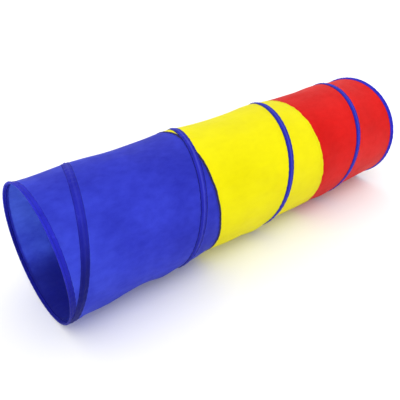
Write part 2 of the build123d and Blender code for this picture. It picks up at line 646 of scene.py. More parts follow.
@dataclass(frozen=True)
class Nylon:
    """Thin plain-weave nylon that lets some light through."""

    name: str
    colour: Colour  # colour of the cloth
    deep: Colour  # colour where it is doubled or in folds
    through: Colour  # colour of the light that comes through it
    gloss: Colour  # colour of its gloss and sheen
    clear: float = 0.3  # share of the light that comes through
    sheen: float = 0.05  # strength of its sheen
    roughness: float = 0.5
    thread: float = 0.0011  # width of a thread of the weave
    axis_height: float = 0.24  # height of the tunnel's axis
    dark_below: float = 0.04  # height inside the tunnel below which the painted shade is darkest
    light_above: float = 0.12  # height above which no shade is painted
    dark: float = 0.65  # how dark the painted shade is below, from 0 to 1

    def build(self) -> Material:
        """Build the material.

        Returns:
            The finished material.
        """
        material, bench = new_finish(self.name)
        weave = bench.add("ShaderNodeUVMap", {"uv_map": "weave"}).outputs[0]
        place = bench.add("ShaderNodeTexCoord").outputs["Object"]
        cloud = bench.noise(place, 5.0, 3.0, 0.55)
        stretched = bench.add("ShaderNodeMapping", Vector=weave, Scale=(46.0, 26.0, 1.0)).outputs[0]
        streak = bench.noise(stretched, 1.0, 5.0, 0.65)
        warp, weft = (bench.bands(weave, side, THREAD_SCALE / self.thread, 0.6, Detail=1.0) for side in "XY")
        mottle = bench.ranged(cloud, 0.3, 0.7, 0.0, 0.62)
        tone = bench.plus(mottle, bench.ranged(streak, 0.3, 0.75, 0.0, 0.34))
        over = bench.times(warp, weft)
        tone = bench.plus(tone, bench.times(over, 0.12))
        colour = bench.mixed(tone, opaque(self.colour), opaque(self.deep))
        # Painted shade low down inside the tunnel, on the cloth's colour and on the light that comes through
        # it
        painted_shade = self.painted_shade(bench, place)
        colour = bench.mixed(painted_shade, colour, opaque(self.deep, 0.35))
        height = bench.plus(bench.times(over, 0.5), bench.times(streak, 0.9))
        bump = bench.add("ShaderNodeBump", Strength=0.25, Distance=0.0006, Height=height).outputs[0]
        rough = bench.plus(self.roughness - 0.06, bench.times(streak, 0.16))
        gloss = opaque(self.gloss)
        surface = bench.surface(
            colour, rough, bump, Specular_IOR_Level=SPECULAR, Specular_Tint=gloss,
            Sheen_Weight=self.sheen, Sheen_Roughness=0.4, Sheen_Tint=gloss,
        )
        light = bench.mixed(bench.times(tone, 0.55), opaque(self.through), opaque(self.deep))
        light = bench.mixed(painted_shade, light, opaque(self.deep, 0.35))
        behind = bench.add("ShaderNodeBsdfTranslucent", Color=light)
        mix = bench.add("ShaderNodeMixShader")
        for index, value in enumerate((self.clear, surface, behind.outputs[0])):
            bench.feed(mix, index, value)
        bench.add("ShaderNodeOutputMaterial", Surface=mix.outputs[0])
        return material

    def painted_shade(self, bench: NodeBench, place: Socket) -> Socket:
        """Painted shade: how dark the cloth is painted low down inside the tunnel, where the floor keeps the
        light out.

        Args:
            bench: Bench of the material's node tree.
            place: Place on the cloth.

        Returns:
            0 in the light, rising to the darkest painted shade low down inside.
        """
        at = bench.add("ShaderNodeSeparateXYZ", Vector=place)
        facing = bench.add("ShaderNodeSeparateXYZ", Vector=bench.add("ShaderNodeTexCoord").outputs["Normal"])
        across = bench.times(facing.outputs["Y"], at.outputs["Y"])
        height = at.outputs["Z"]
        above = bench.maths("SUBTRACT", height, self.axis_height)
        upward = bench.times(facing.outputs["Z"], above)
        inside = bench.maths("LESS_THAN", bench.plus(across, upward), 0.0)
        darkness = bench.ranged(height, self.dark_below, self.light_above, self.dark, 0.0)
        return bench.times(inside, darkness)


@dataclass(frozen=True)
class Tape:
    """Close-woven polyester tape, ribbed along its length."""

    name: str
    colour: Colour  # colour of the tape
    deep: Colour  # colour between its ribs
    wear_and_highlight: Colour  # colour of its rubbed high places, and of the painted highlight along its ridge
    rib: float = 0.0016  # size of its ribs
    edge_shade_from: float = 0.0  # distance from the tape's middle to the painted shade along its edges, where it folds double under the stitching, or 0 where it has none
    ridge_highlight: float = 0.0  # half width of the painted highlight along its middle, over the wire, or 0 where it has none
    near_mouth_until: float = -0.50  # station up to which the painted ridge highlight and the painted edge shade hardly show
    past_mouth_from: float = -0.28  # station from which they show fully
    shade: tuple[float, ...] = ()  # heights between which painted shade darkens it low down near the mouth, and how much, or nothing

    def build(self) -> Material:
        """Build the material.

        Returns:
            The finished material.
        """
        material, bench = new_finish(self.name)
        weave = bench.add("ShaderNodeUVMap", {"uv_map": "weave"}).outputs[0]
        place = bench.add("ShaderNodeTexCoord").outputs["Object"]
        rib = bench.bands(weave, "Y", 1 / self.rib, 0.3)
        pick = bench.bands(weave, "X", 1 / (self.rib * 0.8), 0.3)
        cloud = bench.noise(place, 22.0, 4.0, 0.6)
        over = bench.times(rib, pick)
        clouded = bench.ranged(cloud, 0.35, 0.7, 0.0, 0.5)
        tone = bench.plus(clouded, bench.times(over, 0.3))
        colour = bench.mixed(tone, opaque(self.colour), opaque(self.deep))
        rubbed = bench.noise(place, 60.0, 2.0)
        colour = bench.mixed(bench.ranged(rubbed, 0.62, 0.8, 0.0, 0.3), colour, opaque(self.wear_and_highlight))
        if self.edge_shade_from:
            parts = bench.add("ShaderNodeSeparateXYZ", Vector=weave)
            beside = bench.maths("ABSOLUTE", parts.outputs["Y"])
            station = bench.add("ShaderNodeSeparateXYZ", Vector=place).outputs["X"]
            # Share of the painted edge shade and ridge highlight that shows, less near the mouth
            painted_light_share = bench.ranged(station, self.near_mouth_until, self.past_mouth_from, 0.25, 1.0)
            # Painted shade along both edges
            edge = bench.ranged(beside, self.edge_shade_from, self.edge_shade_from + 0.0012, 0.0, 0.9)
            colour = bench.mixed(bench.times(edge, painted_light_share), colour, opaque(self.deep, 0.4))
            # Painted highlight along the ridge over the wire
            painted_crest = bench.ranged(beside, self.ridge_highlight * 0.3, self.ridge_highlight, 0.45, 0.0)
            colour = bench.mixed(bench.times(painted_crest, painted_light_share), colour, opaque(self.wear_and_highlight))
        if self.shade:
            # Painted shade low down near the mouth
            parts = bench.add("ShaderNodeSeparateXYZ", Vector=place)
            low = bench.ranged(parts.outputs["Z"], *self.shade, 0.0)
            near = bench.ranged(parts.outputs["X"], self.near_mouth_until, self.past_mouth_from, 1.0, 0.0)
            colour = bench.mixed(bench.times(low, near), colour, opaque(self.deep, 0.4))
        bump = bench.add("ShaderNodeBump", Strength=0.4, Distance=0.0005, Height=over).outputs[0]
        rough = bench.plus(0.55, bench.times(cloud, 0.2))
        surface = bench.surface(
            colour, rough, bump, Specular_IOR_Level=SPECULAR, Specular_Tint=TAPE_GLOSS,
            Sheen_Weight=0.04, Sheen_Tint=TAPE_GLOSS,
        )
        bench.add("ShaderNodeOutputMaterial", Surface=surface)
        return material


@dataclass(frozen=True)
class Plain:
    """Thread, wire, crimped metal or moulded plastic, with a fine grain."""

    name: str
    colour: Colour
    deep: Colour  # colour in its grain
    roughness: float = 0.5
    metal: float = 0.0  # 1 for metal, 0 otherwise
    grain: float = 400.0  # scale of its grain

    def build(self) -> Material:
        """Build the material.

        Returns:
            The finished material.
        """
        material, bench = new_finish(self.name)
        place = bench.add("ShaderNodeTexCoord").outputs["Object"]
        grain = bench.noise(place, self.grain, 3.0)
        colour = bench.mixed(bench.ranged(grain, 0.35, 0.7, 0.0, 1.0), opaque(self.colour), opaque(self.deep))
        rough = bench.plus(self.roughness - 0.08, bench.times(grain, 0.16))
        bump = bench.add("ShaderNodeBump", Strength=0.2, Distance=0.0002, Height=grain).outputs[0]
        bench.add("ShaderNodeOutputMaterial", Surface=bench.surface(colour, rough, bump, Metallic=self.metal))
        return material


@dataclass
class Finishes:
    """Every material of the tunnel, built once."""

    blue: Material
    yellow: Material
    red: Material
    binding: Material
    tape: Material
    seam: Material
    blue_thread: Material
    yellow_thread: Material
    red_thread: Material
    edge_thread: Material
    wire: Material
    crimp: Material
    cap: Material


def build_finishes() -> Finishes:
    """Build every material.

    Returns:
        The materials.
    """
    return Finishes(
        blue=Nylon(
            "blue_nylon", (0.056, 0.065, 0.74), (0.032, 0.038, 0.54), (0.40, 0.58, 1.0), (0.34, 0.40, 1.0),
            clear=0.5, sheen=0.16,
        ).build(),
        yellow=Nylon(
            "yellow_nylon", (0.96, 0.91, 0.004), (0.86, 0.79, 0.002), (1.0, 0.90, 0.004), (1.0, 0.95, 0.10)
        ).build(),
        red=Nylon(
            "red_nylon", (0.80, 0.014, 0.012), (0.66, 0.006, 0.005), (0.95, 0.03, 0.02), (1.0, 0.14, 0.12)
        ).build(),
        binding=Tape(
            "binding_tape", (0.020, 0.022, 0.50), (0.009, 0.010, 0.32), (0.045, 0.050, 0.66),
            shade=(0.16, 0.40, 0.7),
        ).build(),
        tape=Tape(
            "spiral_tape", (0.016, 0.018, 0.38), (0.008, 0.009, 0.25), (0.075, 0.085, 0.60),
            edge_shade_from=0.0103, ridge_highlight=0.0050, shade=(0.26, 0.44, 0.85),
        ).build(),
        seam=Tape("seam_tape", (0.03, 0.034, 0.42), (0.014, 0.015, 0.26), (0.09, 0.10, 0.58)).build(),
        blue_thread=Plain("blue_thread", (0.014, 0.017, 0.40), (0.008, 0.010, 0.26), 0.7).build(),
        yellow_thread=Plain("yellow_thread", (0.80, 0.74, 0.02), (0.62, 0.54, 0.01), 0.6).build(),
        red_thread=Plain("red_thread", (0.55, 0.015, 0.012), (0.36, 0.008, 0.006), 0.6).build(),
        edge_thread=Plain("edge_thread", (0.012, 0.006, 0.06), (0.006, 0.003, 0.03), 0.9).build(),
        wire=Plain("spring_steel", (0.46, 0.47, 0.49), (0.34, 0.35, 0.37), 0.35, 1.0, 700.0).build(),
        crimp=Plain("crimped_aluminium", (0.74, 0.75, 0.77), (0.60, 0.61, 0.63), 0.4, 1.0, 500.0).build(),
        cap=Plain("black_cap", (0.05, 0.05, 0.055), (0.03, 0.03, 0.033), 0.55).build(),
    )


# ---------------------------------------------------------------- geometry node tools


class NodeTool:
    """A geometry node tree with named inputs, run once on a piece and then left behind."""

    def __init__(self, name: str, inputs: Sequence[tuple[str, str]]) -> None:
        """Start the tree.

        Args:
            name: Name of the tree.
            inputs: Name and socket type of each input after the geometry.
        """
        self.tree = bpy.data.node_groups.new(name, "GeometryNodeTree")
        self.tree.interface.new_socket("Geometry", in_out="OUTPUT", socket_type="NodeSocketGeometry")
        self.tree.interface.new_socket("Geometry", in_out="INPUT", socket_type="NodeSocketGeometry")
        for label, kind in inputs:
            self.tree.interface.new_socket(label, in_out="INPUT", socket_type=kind)
        self.bench = NodeBench(self.tree)
        self.given = self.tree.nodes.new("NodeGroupInput").outputs
        self.result = self.tree.nodes.new("NodeGroupOutput").inputs[0]

    def finish(self, geometry: Socket) -> None:
        """End the tree in Realize Instances, smooth shading and Set Material.

        Args:
            geometry: What the tree has made.
        """
        real = self.bench.add("GeometryNodeRealizeInstances", Geometry=geometry).outputs[0]
        shaded = self.bench.add("GeometryNodeSetShadeSmooth", Geometry=real).outputs[0]
        dressed = self.bench.add("GeometryNodeSetMaterial", Geometry=shaded, Material=self.given["Material"])
        self.tree.links.new(dressed.outputs[0], self.result)

    def run(self, piece: Piece, values: dict[str, object]) -> Piece:
        """Run the tree on a piece and keep its result as the piece's plain mesh.

        Args:
            piece: The piece.
            values: Value of each named input.

        Returns:
            The same piece.
        """
        modifier = piece.modifiers.new(self.tree.name, "NODES")
        modifier.node_group = self.tree
        for item in self.tree.interface.items_tree:
            if item.in_out == "INPUT" and item.name in values:
                modifier[item.identifier] = values[item.name]
        return as_mesh(piece)


def stitch_tool() -> NodeTool:
    """Build the tree that sews stitches along every edge line of a mesh.

    Returns:
        The tree.
    """
    number = "NodeSocketFloat"
    inputs = (("Spacing", number), ("Length", number), ("Thread", number), ("Material", "NodeSocketMaterial"))
    tool = NodeTool("stitches", inputs)
    bench, given = tool.bench, tool.given
    line = bench.add("GeometryNodeMeshToCurve", Mesh=given["Geometry"]).outputs[0]
    spaced = bench.add("GeometryNodeResampleCurve", {"mode": "LENGTH"}, Curve=line, Length=given["Spacing"])
    ball = bench.add("GeometryNodeMeshUVSphere", Segments=6, Rings=4, Radius=0.5).outputs[0]
    thread = given["Thread"]
    size = bench.add("ShaderNodeCombineXYZ", X=thread, Y=thread, Z=given["Length"]).outputs[0]
    thread = bench.add("GeometryNodeTransform", Geometry=ball, Scale=size).outputs[0]
    tangent = bench.add("GeometryNodeInputTangent").outputs[0]
    turn = bench.add("FunctionNodeAlignRotationToVector", {"axis": "Z"}, Vector=tangent).outputs[0]
    sewn = bench.add("GeometryNodeInstanceOnPoints", Points=spaced.outputs[0], Instance=thread, Rotation=turn)
    tool.finish(sewn.outputs[0])
    return tool


def coil_tool() -> NodeTool:
    """Build the tree that winds a left-handed coil of round wire about Z, up from z = 0.

    Returns:
        The tree.
    """
    number = "NodeSocketFloat"
    inputs = (
        ("Turns", number), ("Coil Radius", number), ("Height", number),
        ("Wire Radius", number), ("Material", "NodeSocketMaterial"),
    )
    tool = NodeTool("coil", inputs)
    bench, given = tool.bench, tool.given
    turns, height = given["Turns"], given["Height"]
    coil = bench.add("GeometryNodeCurveSpiral", Resolution=120, Rotations=turns, Height=height)
    for name in ("Start Radius", "End Radius"):
        bench.feed(coil, name, given["Coil Radius"])
    coil.inputs["Reverse"].default_value = False
    circle = bench.add("GeometryNodeCurvePrimitiveCircle", Resolution=8, Radius=given["Wire Radius"])
    wire = bench.add("GeometryNodeCurveToMesh", Curve=coil.outputs[0], Profile_Curve=circle.outputs[0])
    wire.inputs["Fill Caps"].default_value = True
    tool.finish(wire.outputs[0])
    return tool


# ---------------------------------------------------------------- sub-assemblies


@dataclass
class Workshop:
    """What every sub-assembly is built with."""

    form: TunnelForm
    finishes: Finishes
    stitches: NodeTool  # tree that sews stitches
    coil: NodeTool  # tree that winds the wire
    keep: float  # share of its length that the cloth keeps when the tunnel is collapsed
    binding_leg: float  # width of a binding's outer leg

    def make(
        self, name: str, solid: tuple[Points, bool, Points, Points], material: Material,
        body: Body, nodes: Sequence[str] = (), soft: bool = True,
    ) -> Piece:
        """Sweep a piece, give it its material and put it on its body.

        Args:
            name: Name of the piece.
            solid: Its sections, whether they close on themselves, and its two UV coordinates, as for swept.
            material: Its material.
            body: Body that it rides on.
            nodes: CAD nodes that it stands for.
            soft: True for a piece that flattens as the tunnel collapses, which is given a mesh of its own.

        Returns:
            The piece.
        """
        piece = swept(name, *solid)
        piece.data.materials.append(material)
        self.fit(piece, body, nodes, soft)
        return piece

    def fit(
        self, piece: Piece, body: Body, nodes: Sequence[str] = (), soft: bool = True
    ) -> None:
        """Put a finished piece on its body.

        Args:
            piece: The piece.
            body: Body that it rides on.
            nodes: CAD nodes that it stands for.
            soft: True for a piece that flattens as the tunnel collapses, which is given a mesh of its own.
        """
        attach(piece, body.value)
        if nodes:
            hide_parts(*nodes)
        if soft:
            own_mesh(piece)
        log.info("%s on %s: %d faces", piece.name, body.value, len(piece.data.polygons))

    def sew(
        self, name: str, lines: Sequence[Points], closed: bool, thread: Material,
        body: Body, soft: bool = True,
    ) -> None:
        """Sew stitches along lines, as one piece, and put them on their body.

        Args:
            name: Name of the piece.
            lines: Points of each line.
            closed: True if each line's last point joins its first.
            thread: Material of the thread.
            body: Body that they ride on.
            soft: True for stitches that flatten as the tunnel collapses, which are given a mesh of their own.
        """
        points, edges, base = [], [], 0
        for line in lines:
            count = len(line)
            points += line.tolist()
            edges += [(base + i, base + (i + 1) % count) for i in range(count if closed else count - 1)]
            base += count
        mesh = bpy.data.meshes.new(name)
        mesh.from_pydata(points, edges, [])
        values = {"Spacing": STITCH_SPACING, "Length": STITCH_LENGTH, "Thread": STITCH_THREAD}
        sewn = self.stitches.run(linked(name, mesh), values | {"Material": thread})
        self.fit(sewn, body, (), soft)


def whole_turn(count: int = ROUND) -> Points:
    """Angles of a whole turn, without its last, which is its first again."""
    return np.arange(count) * 360 / count


def lap_round(form: TunnelForm) -> Points:
    """Distance round the cloth of each angle of a whole turn."""
    return np.arange(ROUND) * 2 * math.pi * form.cloth_radius / ROUND


@dataclass
class SeamLine:
    """The wavy edge where one section's cloth laps over the next."""

    station: float
    waves: Waves  # waves of its edge
    reach: float  # how far the edge waves

    def edge(self, angle: Points) -> Points:
        """Stations of the upper cloth's edge."""
        return self.station + self.reach * self.waves.at(np.zeros_like(angle), angle)


@dataclass
class ClothSection:
    """One coloured section of the tunnel's cloth, with its lengthwise seam."""

    colour: str  # name of its colour, as in the CAD nodes
    body: Body  # body that it rides on
    start: Points  # stations of its first edge, by angle
    end: Points  # stations of its last edge, by angle
    tucked: bool  # true if its first edge lies under the section before it
    rows: int = 101  # rows of points along it
    thickness: float = 0.0006  # thickness of the cloth
    lap_angle: float = 25.0  # angle of the lengthwise seam
    lap_width: float = 0.012  # width of that seam
    lap_thickness: float = 0.0012  # thickness of that seam
    lap_step: float = 0.005  # length of seam between its sections
    tuck: float = 0.0011  # how far a tucked edge lies in
    tuck_reach: float = 0.018  # how far along the section that reaches

    def build(self, shop: Workshop) -> None:
        """Build the cloth, the seam that closes it and its stitches, and put them on their body.

        Args:
            shop: What it is built with.
        """
        cloth = self.cloth(shop)
        seam = self.lap_seam(shop)

    def cloth(self, shop: Workshop) -> Piece:
        """Build the cloth.

        Args:
            shop: What it is built with.

        Returns:
            The cloth, on its body.
        """
        form, angle = shop.form, whole_turn()
        share = np.linspace(0, 1, self.rows)[:, None]
        x = self.start[None, :] * (1 - share) + self.end[None, :] * share
        lift = np.zeros_like(x)
        if self.tucked:
            lift = lift - self.tuck * np.exp(-(((x - self.start) / self.tuck_reach) ** 4))
        points = form.place(x, angle[None, :], lift, CLOTH_FLOOR)
        piece = tube_sheet(f"{self.colour}_cloth", points, form, self.thickness)
        piece.data.materials.append(getattr(shop.finishes, self.colour))
        shop.fit(piece, self.body, [f"{self.colour}_panel"])
        return piece

    def lap_seam(self, shop: Workshop) -> Piece:
        """Build the felled seam that closes the section, and sew it.

        Args:
            shop: What it is built with.

        Returns:
            The seam, on its body.
        """
        form, slot = shop.form, f"{self.colour}_cloth"
        low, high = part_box(f"{self.colour}_lap_seam")
        x = np.arange(low[0], high[0], self.lap_step)
        half = np.degrees(self.lap_width / 2 / form.cloth_radius)
        across = np.array([-1, -0.9, -0.4, 0.4, 0.9, 1, 1, 0.9, 0.4, -0.4, -0.9, -1])
        inner = -self.thickness - 0.0002
        depth = np.array([0, 0, 0, 0, 0, 0, -0.5, -1, -1.1, -1.1, -1, -0.5]) * self.lap_thickness + inner
        angle = self.lap_angle + across[None, :] * half
        sections = form.place(x[:, None], angle, depth[None, :], INSIDE_FLOOR)
        piece = shop.make(
            f"{self.colour}_felled_seam", (sections, False, across * self.lap_width / 2, x),
            getattr(shop.finishes, self.colour), self.body, [f"{self.colour}_lap_seam"],
        )
        stitched = half * 0.75
        lines = [form.place(x, self.lap_angle + side * stitched, 0.0002, 0.0010) for side in (-1, 1)]
        thread = getattr(shop.finishes, f"{self.colour}_thread")
        shop.sew(f"{self.colour}_felled_seam_stitches", lines, False, thread, self.body)
        return piece


@dataclass
class CrossSeam:
    """The seam between two sections: the upper cloth's hem, the tape behind it, and its stitches."""

    name: str  # name of the CAD node of its tape
    line: SeamLine  # the upper cloth's edge
    colour: str  # colour of the upper cloth
    body: Body  # body that it rides on
    dark_edge: bool  # true if the hem's edge is overlocked in dark thread
    hem_width: float = 0.0085  # width of the hem
    hem_thickness: float = 0.0010  # thickness of the hem
    hem_past: float = 0.0012  # how far the hem's fold reaches past the edge
    tape_half: float = 0.006  # half width of the tape inside the tunnel
    thread_past: float = 0.0010  # how far past the edge the middle of the overlocking lies
    thread_half: float = 0.0046  # half width of the overlocking
    thread_bulge: float = 0.0015  # how far the overlocking stands out

    def build(self, shop: Workshop) -> None:
        """Build the hem, the tape and the stitches, and put them on their body.

        Args:
            shop: What it is built with.
        """
        form, finishes, angle = shop.form, shop.finishes, whole_turn()
        edge = self.line.edge(angle)
        # The hem: a flat loop from the edge back under it, rounded at the edge
        back = np.array([1.0, 0.95, 0.6, 0.2, 0.0, -0.03, 0.0, 0.2, 0.6, 0.95])
        lift = np.array([0.15, 0.75, 1.0, 1.0, 0.8, 0.4, 0.1, 0.05, 0.05, 0.05]) * self.hem_thickness
        x = edge[:, None] - back[None, :] * self.hem_width + self.hem_past
        sections = form.place(x, angle[:, None], lift[None, :] + SKIN, HEM_FLOOR)
        lap = lap_round(form)
        hem = (sections, True, -back * self.hem_width, lap)
        shop.make(f"{self.colour}_hem", hem, getattr(finishes, self.colour), self.body)
        # The tape inside the tunnel
        side = np.array([-1, -0.97, 0, 0.97, 1, 0.97, 0, -0.97]) * self.tape_half
        depth = np.array([-1.3, -1.0, -1.0, -1.0, -1.3, -1.8, -1.9, -1.8]) * 0.001
        x = self.line.station + side[None, :]
        tape = (form.place(x, angle[:, None], depth[None, :], INSIDE_FLOOR), True, side, lap)
        shop.make(f"{self.name}_tape", tape, finishes.seam, self.body, [self.name])
        # Stitches along the hem
        lift = self.hem_thickness + 0.0002
        lines = [form.place(edge - inward, angle, lift, OUTSIDE_FLOOR) for inward in (0.0015, 0.0055)]
        thread = getattr(finishes, f"{self.colour}_thread")
        shop.sew(f"{self.colour}_hem_stitches", lines, True, thread, self.body)
        if self.dark_edge:
            self.overlock(shop, edge, angle, lap)

    def overlock(self, shop: Workshop, edge: Points, angle: Points, lap: Points) -> None:
        """Bind the hem's edge in dark thread.

        Args:
            shop: What it is built with.
            edge: Stations of the hem's edge.
            angle: Angles of the same points.
            lap: Distance round the tunnel of the same points.
        """
        turn = np.radians(whole_turn(8))
        x = edge[:, None] + self.thread_past + self.thread_half * np.cos(turn)[None, :]
        lift = self.hem_thickness * 0.9 + self.thread_bulge * np.sin(turn)
        sections = shop.form.place(x, angle[:, None], lift[None, :], OUTSIDE_FLOOR)
        thread = (sections, True, turn * 0.001, lap)
        shop.make(f"{self.colour}_hem_overlock", thread, shop.finishes.edge_thread, self.body)


@dataclass
class EndBinding:
    """Tape folded round an end of the tunnel and over its wire ring."""

    node: str  # name of the CAD node
    body: Body  # body that it rides on
    front: bool  # true at the mouth, False at the red end
    outer_leg: float = 0.020  # width of its outside leg
    bead: float = 0.0031  # radius of the middle of the tape round the ring wire
    tape: float = 0.0010  # thickness of the tape
    ring_station: float = 0.004  # distance from the end of the tunnel to the middle of the ring wire
    ring_lift: float = 0.00185  # height of the ring wire's middle over the cloth
    inner_leg: float = 0.012  # width of its inside leg
    ripple: Waves = Waves(21, 40, 90, 0.1, 0.3, 12)  # waves of its edges
    ripple_along: float = 0.0004  # how far an edge waves along the tunnel
    ripple_out: float = 0.00025  # how far it waves out from the cloth

    def centre_line(self) -> Points:
        """The tape's middle, from the inside leg round the bead to the end of the outside leg.

        Returns:
            Distance from the end of the tunnel and lift over the cloth, for each point.
        """
        inside = [(self.inner_leg, -0.0014), (0.0100, -0.0014), (0.0082, -0.0013), (0.0070, -0.0009)]
        turn = np.radians(np.linspace(-42, -318, 19))
        middle_of_wire = np.array([self.ring_station, self.ring_lift])
        bead = middle_of_wire + self.bead * np.stack([np.cos(turn), np.sin(turn)], -1)
        flat = np.stack([np.linspace(0.0100, self.outer_leg, 5), np.linspace(0.0012, 0.0007, 5)], -1)
        outside = [(0.0072, 0.0030), (0.0084, 0.0018), *flat.tolist()]
        return np.array([*inside, *bead.tolist(), *outside])

    def build(self, shop: Workshop) -> None:
        """Build the binding and its stitches, and put them on their body.

        Args:
            shop: What it is built with.
        """
        form, angle = shop.form, whole_turn()
        line = self.centre_line()
        along = np.gradient(line, axis=0)
        normal = np.stack([-along[:, 1], along[:, 0]], -1)
        normal /= np.linalg.norm(normal, axis=1)[:, None]
        loop = np.concatenate([line + normal * self.tape / 2, (line - normal * self.tape / 2)[::-1]])
        loose = np.clip((loop[:, 0] - 0.008) / 0.012, 0, 1)
        ripple = self.ripple.at(np.zeros_like(angle), angle)[:, None] * loose[None, :]
        reach = loop[None, :, 0] + self.ripple_along * ripple
        x = form.mouth + reach if self.front else form.rear - reach
        lift = loop[None, :, 1] + self.ripple_out * ripple
        sections = form.place(x, angle[:, None], lift)
        lap = lap_round(form)
        width = np.concatenate([[0], np.cumsum(np.linalg.norm(np.diff(loop, axis=0), axis=1))])
        tape = (sections, True, width, lap)
        finish = shop.finishes.binding
        shop.make(f"{self.node}_tape", tape, finish, self.body, [self.node], soft=False)
        rows = ((0.0098, 0.0019), (self.outer_leg - 0.0028, 0.0015))
        stations = [form.mouth + d if self.front else form.rear - d for d, _ in rows]
        lines = [form.place(s, angle, height) for s, (_, height) in zip(stations, rows)]
        thread = shop.finishes.blue_thread
        shop.sew(f"{self.node}_stitches", lines, True, thread, self.body, soft=False)


